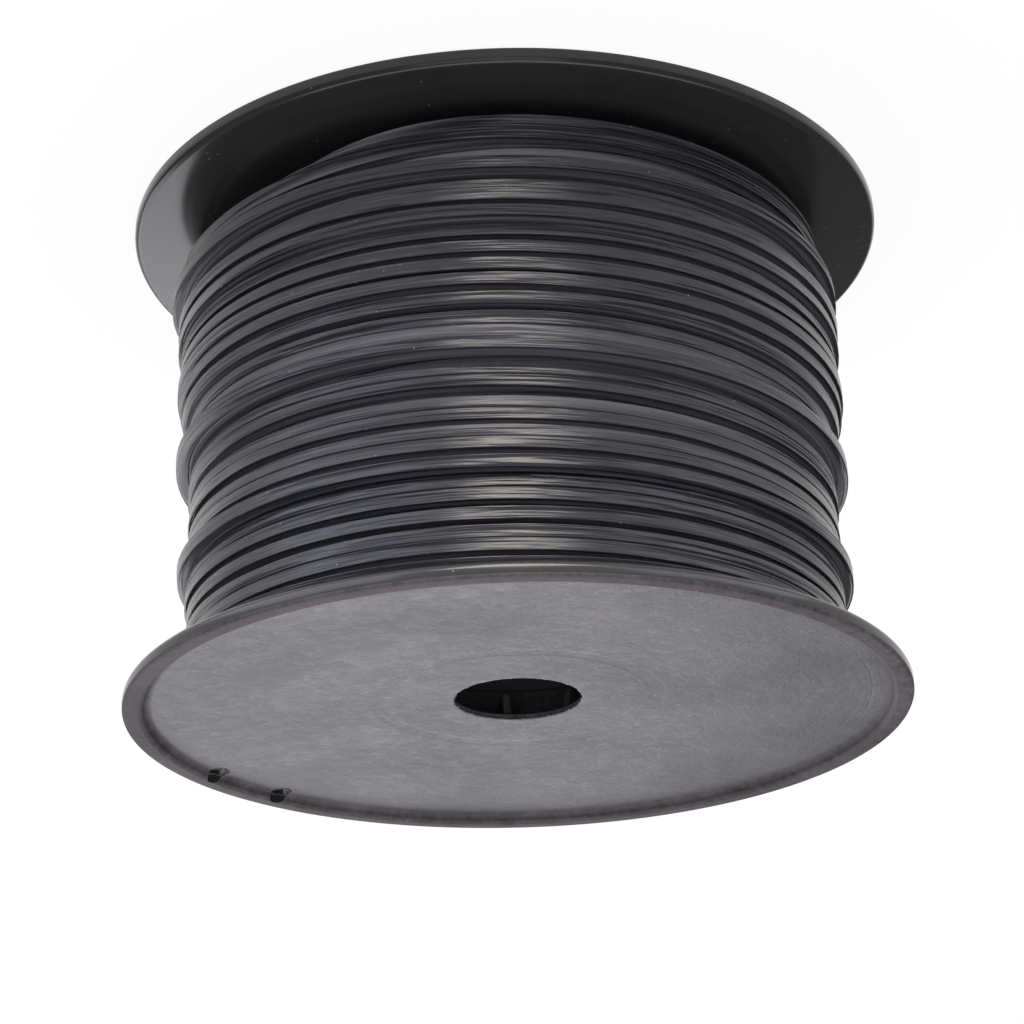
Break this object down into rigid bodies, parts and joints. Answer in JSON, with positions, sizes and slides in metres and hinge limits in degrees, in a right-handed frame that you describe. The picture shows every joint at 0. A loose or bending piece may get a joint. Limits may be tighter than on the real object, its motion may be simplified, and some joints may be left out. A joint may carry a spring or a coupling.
{
  "type": "wire spool",
  "caption": "Moulded plastic spool wound with flat black twin cord, with raised rims on its dished flanges, an arbor hole through both flanges and tie holes at the rim.",
  "frame": {"origin": "middle of the bottom of the bounding box, on the spool's axis and level with the crest of the bottom flange's rim, which the spool stands on", "axes": "+Z along the spool's axis, from the bottom flange to the top flange; +X points midway between the two tie holes of each flange"},
  "size_m": [0.165, 0.165, 0.1124],
  "materials": {
    "flange_moulding": "black recycled polystyrene with a fine satin moulding texture",
    "barrel_moulding": "plain black moulding",
    "cord_insulation": "black PVC with a soft gloss and fine ribs along the cord",
    "copper": "freshly cut copper strands"
  },
  "bodies": {
    "root": {"bottom_flange": "flange_moulding", "top_flange": "flange_moulding", "barrel": "barrel_moulding", "inner_layers": "cord_insulation", "outer_layer": "cord_insulation", "cut_end": "cord_insulation", "copper_cores": "copper"}
  },
  "joints": []
}
